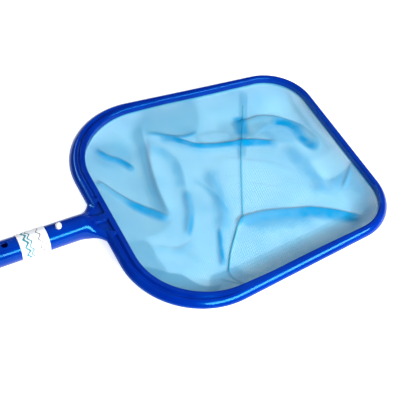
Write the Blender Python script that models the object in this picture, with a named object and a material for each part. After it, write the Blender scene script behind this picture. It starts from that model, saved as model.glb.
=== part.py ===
"""Leaf skimmer net, a hand tool for lifting leaves off a swimming pool.

The head is a rounded trapezoid frame, moulded in one piece with a short tubular handle that plugs
into a telescopic pole. A shallow net bag hangs in the frame: its sewn hem lies in a channel under
the rim, and a flat ring closes the channel from below. A nylon clip inside the handle pushes two
buttons through the handle's inner pair of holes, and the outer pair is left open.

Metres, +Z up, +X from the handle to the far end of the head. The sizes below are measured from the
head's outer edge at the handle (x = 0) and from the handle's axis (z = 0). Every object is then
moved so that the world's origin is the middle of the bounding box's bottom face.
"""

import math

import bmesh
import bpy
from mathutils import Matrix

# Head frame: outer edge, seen from above.
HEAD_LENGTH = 0.333
HANDLE_SIDE_HALF = 0.1690  # half width where the side's line meets the line of the handle end
FAR_SIDE_HALF = 0.1345  # and where it meets the line of the far end
HANDLE_CORNER_R = 0.096
FAR_CORNER_R = 0.063

# Rim section.
RIM_TOP = 0.005
RIM_HEIGHT = 0.0085
RIM_SHOULDER = 0.0065  # drop of the sloping outer face
SHOULDER_POWER = 1.4  # its curve: 2 is a quarter ellipse, 1 a flat slope
RIM_WIDTH = 0.0128
RIM_WIDTH_FAR = 0.0104
INNER_EDGE_R = 0.0026
OUTER_SHARE = 0.53  # share of an ungrooved rim's width that the outer face takes
GROOVE_WIDTH = 0.0062
GROOVE_DEPTH = 0.0030
GROOVE_WIDE_X = (0.030, 0.165)  # along the head, the groove narrows from here to here
GROOVE_DEEP_X = (0.020, 0.115)  # and grows shallow from here to here
SKIN = 0.0022  # wall of the rim round its channel
TOP_SKIN = 0.0024

# Handle.
HANDLE_LENGTH = 0.140
HANDLE_OD = 0.0285
HANDLE_WALL = 0.0020
BORE_END_X = -0.028
HANDLE_FULL_X = -0.018  # where the round handle starts to flow into the rim
BUTTON_X = -0.0453
HOLE_PITCH = 0.062

# Gusset between the handle and the rim.
FLARE_START_X = -0.026
FLARE_END_X = 0.0036
FLARE_REACH = 0.031
FLARE_POWER = 2.3
FLARE_DROP = 0.0024  # how far the gusset's edge lies below the handle's axis
FLARE_EDGE_POWER = 3  # how closely the gusset keeps to its edge
GUSSET_TOP = 0.0046  # where its top ends, just below the rim's crest
CREST_OVERLAP = 0.0002  # the gusset ends this far past the rim's crest, its plate starts before it
WALL_X = 0.0015  # inside the rim's outer wall, where the gusset's lower half ends
GUSSET_UNDERSIDE = 0.0006  # over the hem's channel
GUSSET_EDGE_T = 0.0004  # thickness there, inside the rim
PLATE_UNDERSIDE = 0.0003
POCKET_X = (-0.0090, 0.0115)
POCKET_REACH = 0.0235
POCKET_FLOOR = 0.0012
RIB_WIDTH = 0.0090
GUSSET_REACH = 0.029

# Net, hem, ring and seam.
GAP = 0.0003  # left between pieces that touch
FLANGE_T = 0.0006
RING_T = 0.0020
RING_INSET = 0.0030
HEM_CLEARANCE = 0.0006  # between the hem and the channel's walls
NET_T = 0.0008
WALL_LEAN = 0.0300  # how far in the bag's wall runs on its way down
FLOOR_ROUND = 0.0060  # width of the rounding at the wall's foot
FLOOR_RISE = 0.0020  # and its height
SEAM_WIDTH = 0.0025
SEAM_T = 0.0005
SEAM_LENGTH = 0.200
SEAM_MIDDLE = (0.180, -0.006)
SEAM_TURN = math.radians(60)

# Pole clip.
BUTTON_D = 0.0069
BUTTON_CLEARANCE = 0.0004  # between a button and its hole, all round
BUTTON_RISE = 0.0052  # above the handle
LEG_WIDTH = 0.0090
LEG_T = 0.0014
LEG_LENGTH = 0.052
BEND_WIDTH = 0.0100
PIVOT_FROM_BUTTON = 0.0452

# Label.
LABEL_LENGTH = 0.0325
LABEL_T = 0.0003
LABEL_WRAP = math.radians(280)

# Derived sizes.
HANDLE_R = HANDLE_OD / 2
BORE_R = HANDLE_R - HANDLE_WALL
HOLE_R = BUTTON_D / 2 + BUTTON_CLEARANCE
GUSSET_END_X = RIM_WIDTH * OUTER_SHARE + CREST_OVERLAP
PLATE_START_X = RIM_WIDTH * OUTER_SHARE - CREST_OVERLAP  # of the plate that fills the groove
RIM_BOTTOM = RIM_TOP - RIM_HEIGHT
REST_Z = -HANDLE_R - BUTTON_RISE  # the tool lies on its lower button and the bag's floor
FLANGE_TOP = RIM_BOTTOM - GAP
RING_TOP = FLANGE_TOP - FLANGE_T - GAP
SHIFT = ((HANDLE_LENGTH - HEAD_LENGTH) / 2, 0.0, -REST_Z)


def clear_scene():
    for old in list(bpy.data.objects):
        bpy.data.objects.remove(old, do_unlink=True)


def material(name, colour, roughness, metallic=0.0):
    mat = bpy.data.materials.new(name)
    mat.use_nodes = True
    shader = mat.node_tree.nodes["Principled BSDF"]
    shader.inputs["Base Color"].default_value = (*colour, 1.0)
    shader.inputs["Roughness"].default_value = roughness
    shader.inputs["Metallic"].default_value = metallic
    return mat


def object_from(bm, name, mat=None, at=(0.0, 0.0, 0.0), smooth=35):
    """Finish a bmesh and place it. Its geometry is given relative to `at`."""
    bmesh.ops.recalc_face_normals(bm, faces=bm.faces)
    mesh = bpy.data.meshes.new(name)
    bm.to_mesh(mesh)
    bm.free()
    mesh.shade_smooth()
    mesh.set_sharp_from_angle(angle=math.radians(smooth))
    ob = bpy.data.objects.new(name, mesh)
    ob.location = [a + s for a, s in zip(at, SHIFT)]
    if mat:
        mesh.materials.append(mat)
    bpy.context.collection.objects.link(ob)
    return ob


def boolean(ob, other, operation):
    """Add or cut with another object, which is then kept only as a hidden guide."""
    other.hide_render = True
    other.display_type = "WIRE"
    mod = ob.modifiers.new(other.name, "BOOLEAN")
    mod.operation = operation
    mod.solver = "EXACT"
    mod.object = other


def smoothstep(low, high, value):
    t = min(max((value - low) / (high - low), 0.0), 1.0)
    return t * t * (3 - 2 * t)


def spread(low, high, count):
    """count values from low up to, but not including, high."""
    return [low + (high - low) * i / count for i in range(count)]


class Station:
    """A place on the head's outer edge, with the outward direction and the rim's size there."""

    def __init__(self, x, y, nx, ny):
        self.x, self.y, self.nx, self.ny = x, y, nx, ny
        self.groove = 1 - smoothstep(*GROOVE_WIDE_X, x)
        self.depth = GROOVE_DEPTH * (1 - smoothstep(*GROOVE_DEEP_X, x))
        far = smoothstep(0.55 * HEAD_LENGTH, 0.95 * HEAD_LENGTH, x)
        self.solid = RIM_WIDTH + (RIM_WIDTH_FAR - RIM_WIDTH) * far
        self.width = self.solid + GROOVE_WIDTH * self.groove

    def at(self, inset, z):
        return (self.x - self.nx * inset, self.y - self.ny * inset, z)


def outline():
    """Stations once round the outer edge: straight ends and sides, joined by four arcs."""
    lean = math.atan2(HANDLE_SIDE_HALF - FAR_SIDE_HALF, HEAD_LENGTH)
    sine, cosine = math.sin(lean), math.cos(lean)

    def corner(x, radius):
        return (x, (HANDLE_SIDE_HALF * cosine - radius - x * sine) / cosine, radius)

    near = corner(HANDLE_CORNER_R, HANDLE_CORNER_R)
    far = corner(HEAD_LENGTH - FAR_CORNER_R, FAR_CORNER_R)
    half = [(0.0, y, -1.0, 0.0) for y in spread(0.0, near[1], 4)]

    def arc(centre, start, end, count):
        for turn in spread(start, end, count):
            nx, ny = math.cos(turn), math.sin(turn)
            half.append((centre[0] + centre[2] * nx, centre[1] + centre[2] * ny, nx, ny))

    arc(near, math.pi, math.pi / 2 - lean, 12)
    start = (near[0] + near[2] * sine, near[1] + near[2] * cosine)
    end = (far[0] + far[2] * sine, far[1] + far[2] * cosine)
    for t in spread(0.0, 1.0, 8):
        x = start[0] + (end[0] - start[0]) * t
        y = start[1] + (end[1] - start[1]) * t
        half.append((x, y, sine, cosine))
    arc(far, math.pi / 2 - lean, 0.0, 8)
    half += [(HEAD_LENGTH, y, 1.0, 0.0) for y in spread(far[1], 0.0, 2)]
    tip = (HEAD_LENGTH, 0.0, 1.0, 0.0)
    other = [(x, -y, nx, -ny) for x, y, nx, ny in reversed(half[1:])]
    return [Station(*place) for place in [*half, tip, *other]]


def skin(bm, rings, closed=False):
    """Faces between neighbouring rings of points, all with the same count."""
    loops = [[bm.verts.new(point) for point in ring] for ring in rings]
    count = len(loops[0])
    last = len(loops) if closed else len(loops) - 1
    for i in range(last):
        one, two = loops[i], loops[(i + 1) % len(loops)]
        for j in range(count):
            k = (j + 1) % count
            bm.faces.new((one[j], one[k], two[k], two[j]))
    return loops


def swept(profile, name, mat=None):
    """A closed ring: profile gives each station's section as (inset, z) points."""
    bm = bmesh.new()
    skin(bm, [[s.at(*point) for point in profile(s)] for s in outline()], closed=True)
    return object_from(bm, name, mat)


def round_bar(bm, radius, length, sides):
    bmesh.ops.create_cone(
        bm, cap_ends=True, segments=sides, radius1=radius, radius2=radius, depth=length
    )


def bore_cutter():
    """Cuts the handle's bore from its open end to where the wall starts to flatten."""
    start = -HANDLE_LENGTH - 0.010
    bm = bmesh.new()
    round_bar(bm, BORE_R, BORE_END_X - start, 32)
    bmesh.ops.rotate(bm, matrix=Matrix.Rotation(math.pi / 2, 3, "Y"), verts=bm.verts)
    return object_from(bm, "bore_cut", None, ((start + BORE_END_X) / 2, 0, 0))


def rim_profile(s):
    """Sloping outer face, groove, inner bead, inner face and the open channel underneath."""
    outer = s.solid * OUTER_SHARE
    foot = RIM_TOP - RIM_SHOULDER
    points = [(0.0, RIM_BOTTOM), (0.0, foot)]
    for turn in (22.5, 45.0, 67.5, 90.0):
        angle = math.radians(turn)
        inward = 1 - math.cos(angle) ** (2 / SHOULDER_POWER)
        upward = math.sin(angle) ** (2 / SHOULDER_POWER)
        points.append((outer * inward, foot + RIM_SHOULDER * upward))
    valley = 0.0004 + GROOVE_WIDTH * s.groove
    points.append((outer + valley * 0.28, RIM_TOP - s.depth))
    points.append((outer + valley * 0.72, RIM_TOP - s.depth))
    points.append((outer + valley, RIM_TOP))
    for turn in (0.0, 45.0, 90.0):
        angle = math.radians(turn)
        inset = s.width - INNER_EDGE_R * (1 - math.sin(angle))
        points.append((inset, RIM_TOP - INNER_EDGE_R * (1 - math.cos(angle))))
    roof = RIM_TOP - TOP_SKIN - s.depth
    points += [
        (s.width, RIM_BOTTOM),
        (s.width - SKIN, RIM_BOTTOM),
        (s.width - SKIN, roof),
        (2 * SKIN, roof),
        (SKIN, (roof + RIM_BOTTOM) / 2),
        (SKIN, RIM_BOTTOM),
    ]
    return points


def flare(x):
    """How far the gusset's side stands out beyond the handle's."""
    t = min(max((x - FLARE_START_X) / (FLARE_END_X - FLARE_START_X), 0.0), 1.0)
    return FLARE_REACH * (1 - (1 - t**FLARE_POWER) ** (1 / FLARE_POWER))


def handle_and_gusset():
    """The round handle, which flattens and widens as it runs into the rim."""
    stops = [-HANDLE_LENGTH, FLARE_START_X, HANDLE_FULL_X, -0.013, -0.009, -0.005, -0.001]
    stops += [WALL_X, 0.0026, FLARE_END_X, GUSSET_END_X]
    bm = bmesh.new()
    rings = []
    for x in stops:
        fall = smoothstep(HANDLE_FULL_X, FLARE_END_X, x)
        drop = FLARE_DROP * smoothstep(FLARE_START_X, FLARE_START_X / 2, x)
        top = HANDLE_R + (GUSSET_TOP - HANDLE_R) * fall
        bottom = HANDLE_R + (-RIM_BOTTOM - HANDLE_R) * fall
        ring = []
        for i in range(32):
            turn = 2 * math.pi * i / 32
            out, up = math.cos(turn), math.sin(turn)
            edge = math.copysign(abs(out) ** FLARE_EDGE_POWER, out)
            up = math.copysign(abs(up) ** (1 - fall / 2), up)
            level = up * (top if up > 0 else bottom) - drop * abs(edge)
            if x > WALL_X:
                level = max(level, GUSSET_UNDERSIDE + (GUSSET_EDGE_T if up > 0 else 0))
            ring.append((x, HANDLE_R * out + flare(x) * edge, level))
        rings.append(ring)
    loops = skin(bm, rings)
    bm.faces.new(loops[0])
    bm.faces.new(loops[-1])
    return object_from(bm, "handle_and_gusset")


def prism(name, corners, low, high):
    bm = bmesh.new()
    verts = [bm.verts.new((x, y, low)) for x, y in corners]
    base = bm.faces.new(verts)
    raised = bmesh.ops.extrude_face_region(bm, geom=[base])["geom"]
    for item in raised:
        if isinstance(item, bmesh.types.BMVert):
            item.co.z = high
    return object_from(bm, name)


def frame(blue):
    """Rim, gusset and handle, moulded in one piece."""
    rim = swept(rim_profile, "frame", blue)
    boolean(rim, handle_and_gusset(), "UNION")
    bead = RIM_WIDTH * (1 - OUTER_SHARE)
    back = RIM_WIDTH + GROOVE_WIDTH - bead / 2
    plate = [
        (PLATE_START_X, GUSSET_REACH),
        (back, GUSSET_REACH * 0.9),
        (back, -GUSSET_REACH * 0.9),
        (PLATE_START_X, -GUSSET_REACH),
    ]
    boolean(rim, prism("gusset_plate", plate, PLATE_UNDERSIDE, RIM_TOP - 0.0002), "UNION")
    boolean(rim, bore_cutter(), "DIFFERENCE")
    for x in (BUTTON_X, BUTTON_X - HOLE_PITCH):
        bm = bmesh.new()
        round_bar(bm, HOLE_R, 2.4 * HANDLE_R, 20)
        boolean(rim, object_from(bm, "hole_cut", None, (x, 0, 0)), "DIFFERENCE")
    for side in (-1, 1):
        corners = [
            (POCKET_X[0], side * RIB_WIDTH / 2),
            (POCKET_X[1], side * RIB_WIDTH / 2),
            (POCKET_X[1], side * POCKET_REACH),
        ]
        cut = prism("pocket_cut", corners, POCKET_FLOOR, HANDLE_R * 1.2)
        boolean(rim, cut, "DIFFERENCE")
    return rim


def hem_band(mat):
    """The bag's folded hem, lying in the rim's channel."""
    low = FLANGE_TOP + GAP
    high = RIM_TOP - TOP_SKIN - GROOVE_DEPTH - HEM_CLEARANCE
    left = 2 * SKIN

    def profile(s):
        right = s.solid - SKIN - HEM_CLEARANCE
        return [(left, low), (right, low), (right, high), (left, high)]

    return swept(profile, "hem_band", mat)


def retaining_ring(mat):
    """Flat ring that closes the channel and holds the hem in it."""
    low = RING_TOP - RING_T

    def profile(s):
        inner = s.width - GAP
        return [
            (RING_INSET, low + 0.0006),
            (RING_INSET + 0.0006, low),
            (inner - 0.0006, low),
            (inner, low + 0.0006),
            (inner, RING_TOP),
            (RING_INSET, RING_TOP),
        ]

    return swept(profile, "retaining_ring", mat)


def net_bag(mat):
    """The bag as a thin closed solid: flange under the rim, leaning wall and a floor."""
    top = FLANGE_TOP
    under = FLANGE_TOP - FLANGE_T
    edge = RING_INSET + 0.0005
    bm = bmesh.new()
    rings = []
    for s in outline():
        wall = s.width + 0.0004
        foot = wall + WALL_LEAN
        rings.append(
            [
                s.at(foot + FLOOR_ROUND, REST_Z),
                s.at(foot, REST_Z + FLOOR_RISE),
                s.at(wall, RING_TOP - RING_T - GAP),
                s.at(wall, under),
                s.at(edge, under),
                s.at(edge, top),
                s.at(wall + NET_T, top),
                s.at(wall + NET_T, RING_TOP - RING_T - GAP),
                s.at(foot + NET_T, REST_Z + FLOOR_RISE + NET_T),
                s.at(foot + FLOOR_ROUND, REST_Z + NET_T),
            ]
        )
    loops = [[bm.verts.new(point) for point in ring] for ring in rings]
    count = len(loops)
    for i in range(count):
        one, two = loops[i], loops[(i + 1) % count]
        for j in range(len(one) - 1):
            bm.faces.new((one[j], one[j + 1], two[j + 1], two[j]))
    bm.faces.new([loop[0] for loop in loops])
    bm.faces.new([loop[-1] for loop in loops])
    return object_from(bm, "net_bag", mat)


def bottom_seam(mat):
    """Sewn seam across the floor of the bag, lying askew as the empty bag does."""
    low = REST_Z + NET_T + GAP
    bm = bmesh.new()
    bmesh.ops.create_cube(bm, size=1.0)
    bmesh.ops.scale(bm, vec=(SEAM_LENGTH, SEAM_WIDTH, SEAM_T), verts=bm.verts)
    seam = object_from(bm, "bottom_seam", mat, (*SEAM_MIDDLE, low + SEAM_T / 2))
    seam.rotation_euler = (0.0, 0.0, SEAM_TURN)
    return seam


def label(mat):
    """Paper label wrapped round the handle between its two pairs of holes."""
    inner = HANDLE_R + GAP
    outer = inner + LABEL_T
    steps = 28
    middle = BUTTON_X - HOLE_PITCH / 2
    bm = bmesh.new()
    rings = []
    for i in range(steps + 1):
        turn = -LABEL_WRAP / 2 + LABEL_WRAP * i / steps
        across, up = math.sin(turn), math.cos(turn)
        half = LABEL_LENGTH / 2
        rings.append(
            [
                (-half, inner * across, inner * up),
                (half, inner * across, inner * up),
                (half, outer * across, outer * up),
                (-half, outer * across, outer * up),
            ]
        )
    loops = skin(bm, rings)
    bm.faces.new(loops[0])
    bm.faces.new(loops[-1])
    return object_from(bm, "label", mat, (middle, 0, 0))


def pole_clip(mat):
    """U-shaped nylon clip: its bend, and two legs that each carry a button."""
    pivot_x = BUTTON_X - PIVOT_FROM_BUTTON
    reach = math.sqrt(BORE_R**2 - (LEG_WIDTH / 2) ** 2) - GAP
    middle = reach - LEG_T / 2
    bm = bmesh.new()
    rings = []
    for i in range(13):
        turn = math.pi / 2 + math.pi * i / 12
        ring = []
        for side, thick in ((-1, 0.5), (1, 0.5), (1, -0.5), (-1, -0.5)):
            across = BEND_WIDTH + thick * LEG_T
            up = middle + thick * LEG_T
            ring.append((across * math.cos(turn), side * LEG_WIDTH / 2, up * math.sin(turn)))
        rings.append(ring)
    loops = skin(bm, rings)
    bm.faces.new(loops[0])
    bm.faces.new(loops[-1])
    object_from(bm, "clip_bend", mat, (pivot_x - GAP / 2, 0, 0))
    for side, name in ((1, "clip_leg_upper"), (-1, "clip_leg_lower")):
        clip_leg(name, side, pivot_x, side * middle, mat)


def clip_leg(name, side, pivot_x, pivot_z, mat):
    """One leg, with its origin on the line it bends about."""
    bm = bmesh.new()
    bmesh.ops.create_cube(bm, size=1.0)
    length = LEG_LENGTH - GAP / 2
    bmesh.ops.scale(bm, vec=(length, LEG_WIDTH, LEG_T), verts=bm.verts)
    bmesh.ops.translate(bm, vec=(GAP / 2 + length / 2, 0, 0), verts=bm.verts)
    leg = object_from(bm, name, mat, (pivot_x, 0, pivot_z))
    peak = HANDLE_R + BUTTON_RISE - abs(pivot_z)
    radius = BUTTON_D / 2
    dome = radius * 0.95
    levels = [(radius, 0.0), (radius, peak - dome)]
    for turn in (30.0, 60.0, 82.0):
        angle = math.radians(turn)
        levels.append((radius * math.cos(angle), peak - dome + dome * math.sin(angle)))
    bm = bmesh.new()
    rings = []
    for wide, high in levels:
        turns = [2 * math.pi * i / 20 for i in range(20)]
        ring = [(PIVOT_FROM_BUTTON + wide * math.cos(t), wide * math.sin(t), side * high) for t in turns]
        rings.append(ring)
    loops = skin(bm, rings)
    bm.faces.new(loops[0])
    bm.faces.new(loops[-1])
    button = object_from(bm, name + "_button", mat, (pivot_x, 0, pivot_z))
    boolean(leg, button, "UNION")
    return leg


def build():
    clear_scene()
    blue = material("royal_blue_plastic", (0.004, 0.045, 0.38), 0.22)
    mesh_blue = material("pale_blue_net", (0.32, 0.62, 0.80), 0.70)
    paper = material("label_paper", (0.86, 0.89, 0.92), 0.35)
    nylon = material("white_nylon", (0.88, 0.90, 0.93), 0.40)
    frame(blue)
    retaining_ring(blue)
    hem_band(mesh_blue)
    net_bag(mesh_blue)
    bottom_seam(mesh_blue)
    label(paper)
    pole_clip(nylon)


build()
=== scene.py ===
import math

import bmesh
import bpy
import numpy as np
from mathutils import Matrix, Vector, noise


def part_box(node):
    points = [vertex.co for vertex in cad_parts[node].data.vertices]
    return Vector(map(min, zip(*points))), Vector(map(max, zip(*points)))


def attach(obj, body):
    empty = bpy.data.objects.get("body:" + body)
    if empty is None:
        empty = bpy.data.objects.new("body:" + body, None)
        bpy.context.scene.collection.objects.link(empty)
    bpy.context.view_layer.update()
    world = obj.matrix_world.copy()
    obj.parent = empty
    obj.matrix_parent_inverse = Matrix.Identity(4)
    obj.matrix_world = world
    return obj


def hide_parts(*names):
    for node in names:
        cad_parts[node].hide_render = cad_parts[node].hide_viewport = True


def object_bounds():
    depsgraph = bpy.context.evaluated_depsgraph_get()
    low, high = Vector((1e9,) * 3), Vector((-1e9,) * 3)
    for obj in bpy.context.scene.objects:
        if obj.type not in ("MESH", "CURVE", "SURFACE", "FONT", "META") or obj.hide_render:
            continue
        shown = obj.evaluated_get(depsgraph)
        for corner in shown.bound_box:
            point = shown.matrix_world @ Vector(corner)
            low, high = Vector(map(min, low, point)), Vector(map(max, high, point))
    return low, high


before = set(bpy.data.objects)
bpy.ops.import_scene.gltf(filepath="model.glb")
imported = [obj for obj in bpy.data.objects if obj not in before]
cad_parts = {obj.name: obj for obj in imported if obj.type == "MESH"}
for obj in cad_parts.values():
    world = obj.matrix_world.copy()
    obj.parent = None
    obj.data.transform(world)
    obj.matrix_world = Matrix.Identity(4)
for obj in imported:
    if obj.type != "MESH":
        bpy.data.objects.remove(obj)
PLAIN_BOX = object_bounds()
FRAME_LOW, FRAME_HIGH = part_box("frame")
print("plain model", [tuple(round(c, 4) for c in corner) for corner in PLAIN_BOX])

# %% [markdown]
# ## The head's own coordinates
#
# Everything is drawn from the head: x = 0 is the head's edge at the handle, and z = 0 is the
# middle of the handle. A finished piece is moved as a whole by SHIFT, so its object stays at the
# origin and the place is in the mesh. Sizes are in metres, and MM makes millimetres of them.
#
# %% Sizes of the head, handle and rim
MM = 0.001
HEAD_LENGTH = 333 * MM
HANDLE_SIDE_HALF = 169 * MM
FAR_SIDE_HALF = 134.5 * MM
NEAR_R = 96 * MM
FAR_R = 63 * MM
EDGE_X = FRAME_HIGH.x - HEAD_LENGTH
AXIS_Z = (FRAME_LOW.z + FRAME_HIGH.z) / 2
HANDLE_R = (FRAME_HIGH.z - FRAME_LOW.z) / 2
HANDLE_START = FRAME_LOW.x - EDGE_X
SHIFT = Vector((EDGE_X, 0, AXIS_Z))

RIM_TOP = 5.0 * MM
RIM_BOTTOM = -3.5 * MM
RIM_WIDTH = 12.8 * MM
RIM_WIDTH_FAR = 10.4 * MM
GROOVE_WIDTH = 6.2 * MM
GROOVE_DEPTH = 3.0 * MM
GROOVE_WIDE_X = (30 * MM, 165 * MM)
GROOVE_DEEP_X = (20 * MM, 115 * MM)
OUTER_FACE = 0.53 * RIM_WIDTH
INNER_EDGE_R = 2.6 * MM
SKIN = 2.2 * MM
TOP_SKIN = 2.4 * MM
SECTION_WIDTH = RIM_WIDTH + GROOVE_WIDTH
GAP = 0.3 * MM
print("handle radius", round(HANDLE_R / MM, 2), "mm, starts at", round(HANDLE_START / MM, 1))


# %% [markdown]
# ## Where the head's edge is
#
# The head is a rounded trapezoid: two straight ends, two straight sides that lean in towards the
# far end, and four round corners. One function answers the question that every piece asks: how far
# in from the edge is this point, and which way is out? The rim, the ring, the hem and the net all
# use it, so they follow the same line.
#
# %% The edge, and the rim's width along it
LEAN = math.atan2(HANDLE_SIDE_HALF - FAR_SIDE_HALF, HEAD_LENGTH)
ALONG = Vector((math.cos(LEAN), -math.sin(LEAN)))
OUT = Vector((math.sin(LEAN), math.cos(LEAN)))


def corner_centre(x, radius):
    return Vector((x, HANDLE_SIDE_HALF - (radius + x * math.sin(LEAN)) / math.cos(LEAN)))


NEAR = corner_centre(NEAR_R, NEAR_R)
FAR = corner_centre(HEAD_LENGTH - FAR_R, FAR_R)


def edge(x, y):
    """Distance in from the head's outer edge, and the outward direction."""
    point = Vector((x, abs(y)))
    near, far = point - NEAR, point - FAR
    if near.x < 0 and near.y < 0:
        inset, out = x, Vector((-1, 0))
    elif near.dot(ALONG) < 0:
        inset, out = NEAR_R - near.length, near.normalized()
    elif far.dot(ALONG) < 0:
        inset, out = NEAR_R - near.dot(OUT), OUT
    elif far.y > 0:
        inset, out = FAR_R - far.length, far.normalized()
    else:
        inset, out = HEAD_LENGTH - x, Vector((1, 0))
    return inset, Vector((out.x, -out.y if y < 0 else out.y))


def smoothstep(low, high, value):
    t = min(max((value - low) / (high - low), 0.0), 1.0)
    return t * t * (3 - 2 * t)


def rim_at(x):
    """How much of the groove's width is left at this length, and the width of the rest."""
    groove = 1 - smoothstep(*GROOVE_WIDE_X, x)
    far = smoothstep(0.55 * HEAD_LENGTH, 0.95 * HEAD_LENGTH, x)
    return groove, RIM_WIDTH + (RIM_WIDTH_FAR - RIM_WIDTH) * far


def inner_edge(x):
    groove, solid = rim_at(x)
    return solid + GROOVE_WIDTH * groove


print("rim is", round(inner_edge(0) / MM, 1), "mm wide at the handle,",
      round(inner_edge(HEAD_LENGTH) / MM, 1), "mm at the far end")

# %% [markdown]
# ## Carrying a section round the head
#
# A moulded rim is one section carried round a line. Blender's own way is to draw the section once,
# extrude it along the straight stretches, spin it round the corners and mirror the half that this
# makes. The section is drawn as it is beside the handle. Afterwards each point is moved in or out
# to the width that the rim has there, and rises by its "lift" where the groove has run out.
#
# %% The sweep
TURNING = Vector((0, 0, 1))


def only(kind, items):
    return [item for item in items if isinstance(item, kind)]


def extruded(bm, edges, step, count):
    """Extrudes a row of edges count times by step, and returns the last row."""
    for _ in range(count):
        made = bmesh.ops.extrude_edge_only(bm, edges=edges)["geom"]
        verts = set(only(bmesh.types.BMVert, made))
        bmesh.ops.translate(bm, vec=step, verts=list(verts))
        edges = [e for e in only(bmesh.types.BMEdge, made) if set(e.verts) <= verts]
    return edges


def spun(bm, edges, centre, angle, steps):
    verts = list({vert for e in edges for vert in e.verts})
    last = bmesh.ops.spin(
        bm, geom=verts + edges, cent=(centre.x, centre.y, 0), axis=TURNING, angle=angle, steps=steps
    )["geom_last"]
    return only(bmesh.types.BMEdge, last)


def sweep(section):
    """A closed section of (inset, height, lift) points, carried once round the head."""
    bm = bmesh.new()
    lift = bm.verts.layers.float.new("lift")
    ring = []
    for inset, height, rise in section:
        vert = bm.verts.new((inset, 0, height))
        vert[lift] = rise
        ring.append(vert)
    row = [bm.edges.new(pair) for pair in zip(ring, ring[1:] + ring[:1])]
    row = extruded(bm, row, (0, NEAR.y / 16, 0), 16)
    row = spun(bm, row, NEAR, -(math.pi / 2 + LEAN), 40)
    side = (FAR + OUT * FAR_R) - (NEAR + OUT * NEAR_R)
    row = extruded(bm, row, (side.x / 30, side.y / 30, 0), 30)
    row = spun(bm, row, FAR, -(math.pi / 2 - LEAN), 28)
    extruded(bm, row, (0, -FAR.y / 6, 0), 6)
    fit_to_rim(bm, lift)
    half = bm.verts[:] + bm.edges[:] + bm.faces[:]
    bmesh.ops.mirror(bm, geom=half, axis="Y", merge_dist=0.01 * MM)
    bmesh.ops.remove_doubles(bm, verts=bm.verts, dist=0.001 * MM)
    bmesh.ops.recalc_face_normals(bm, faces=bm.faces)
    return bm


def fit_to_rim(bm, lift):
    """Moves the section's points to the rim's width and groove depth at each place."""
    drawn = [0, OUTER_FACE, OUTER_FACE + GROOVE_WIDTH, SECTION_WIDTH - INNER_EDGE_R, SECTION_WIDTH]
    for vert in bm.verts:
        inset, out = edge(vert.co.x, vert.co.y)
        place = vert.co.xy + out * inset
        groove, solid = rim_at(place.x)
        outer = OUTER_FACE * solid / RIM_WIDTH
        wide = solid + GROOVE_WIDTH * groove
        real = [0, outer, outer + GROOVE_WIDTH * groove, wide - INNER_EDGE_R, wide]
        moved = place - out * float(np.interp(inset, drawn, real))
        vert.co.x, vert.co.y = moved
        vert.co.z += vert[lift] * smoothstep(*GROOVE_DEEP_X, place.x)


# %% [markdown]
# ## Materials by arithmetic
#
# A pattern is easiest to read as an expression, such as `1 - 0.4 * pore`. The small class below
# wraps one output socket of a material. Sums and products of it add Math nodes, and its `add`
# makes any other node. What is the same all over a surface is set on the shader itself.
#
# %% A socket that can be calculated with
class Field:
    """One output of a material's nodes, which can be used like a number."""

    def __init__(self, tree, socket):
        self.tree = tree
        self.socket = socket

    def add(self, kind, settings, values, output=0):
        """Adds a node of this kind, sets it up, and fills its sockets with numbers or fields."""
        node = self.tree.nodes.new("ShaderNode" + kind)
        for name, value in settings.items():
            if name == "stops":
                for stop, (position, colour) in zip(node.color_ramp.elements, value):
                    stop.position = position
                    stop.color = colour
            else:
                setattr(node, name, value)
        for key, value in values.items():
            if isinstance(value, Field):
                self.tree.links.new(value.socket, node.inputs[key])
            else:
                node.inputs[key].default_value = value
        return Field(self.tree, node.outputs[output])

    def math(self, operation, first, second=0.0):
        return self.add("Math", {"operation": operation}, {0: first, 1: second})

    def __add__(self, other):
        return self.math("ADD", self, other)

    def __sub__(self, other):
        return self.math("SUBTRACT", self, other)

    def __rsub__(self, other):
        return self.math("SUBTRACT", other, self)

    def __mul__(self, other):
        return self.math("MULTIPLY", self, other)

    def __truediv__(self, other):
        return self.math("DIVIDE", self, other)

    __radd__ = __add__
    __rmul__ = __mul__

    def between(self, low, high):
        """0 below low, 1 above high, and a soft step in between."""
        values = {"Value": self, "From Min": low, "From Max": high}
        return self.add("MapRange", {"interpolation_type": "SMOOTHSTEP"}, values)

    def blend(self, first, second):
        """A colour: first where this field is 0, second where it is 1."""
        return self.add("Mix", {"data_type": "RGBA"}, {0: self, 6: first, 7: second}, output=2)

    def noise(self, place, scale, detail=2.0):
        values = {"Vector": place, "Scale": scale, "Detail": detail}
        return self.add("TexNoise", {}, values)


def start_material(name, settings):
    """A new material with its constant values set, and its shader."""
    material = bpy.data.materials.new(name)
    material.use_nodes = True
    shader = material.node_tree.nodes["Principled BSDF"]
    for key, value in settings.items():
        shader.inputs[key].default_value = value
    return material, shader


def feed(shader, **fields):
    """Links fields to the shader's sockets, such as Base_Color."""
    for name, field in fields.items():
        field.tree.links.new(field.socket, shader.inputs[name.replace("_", " ")])


def place_of(material, output="Object"):
    tree = material.node_tree
    return Field(tree, tree.nodes.new("ShaderNodeTexCoord").outputs[output])


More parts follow.
